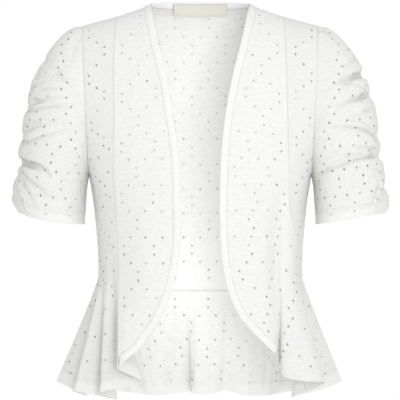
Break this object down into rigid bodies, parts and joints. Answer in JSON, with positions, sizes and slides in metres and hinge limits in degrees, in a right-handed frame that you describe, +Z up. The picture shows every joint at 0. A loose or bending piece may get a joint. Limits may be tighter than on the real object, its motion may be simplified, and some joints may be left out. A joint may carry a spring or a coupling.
{
  "type": "bolero jacket",
  "caption": "Short open jacket of white eyelet jersey with gathered puff sleeves, cut-away fronts and a flared hem, filled out as worn.",
  "frame": {"origin": "between the shoulders, on the centre plane, level with the side of the neck, where the wearer's shoulders hold the jacket up", "axes": "+Z up; the open front faces -Y and the back +Y; +X is the viewer's right when the front is seen"},
  "size_m": [0.5302, 0.2565, 0.5718],
  "materials": {
    "eyelet_jersey": "white slub jersey with small sewn eyelets, matt",
    "band_jersey": "plain white jersey, folded double and topstitched, matt",
    "label_satin": "blank woven satin label, soft sheen"
  },
  "bodies": {
    "root": {"back_bodice": "eyelet_jersey", "back_peplum": "eyelet_jersey", "front_left": "eyelet_jersey", "front_right": "eyelet_jersey", "side_left": "eyelet_jersey", "side_right": "eyelet_jersey", "sleeve_left": "eyelet_jersey", "sleeve_right": "eyelet_jersey", "band_left": "band_jersey", "band_right": "band_jersey", "band_neck": "band_jersey", "label": "label_satin"}
  },
  "joints": []
}
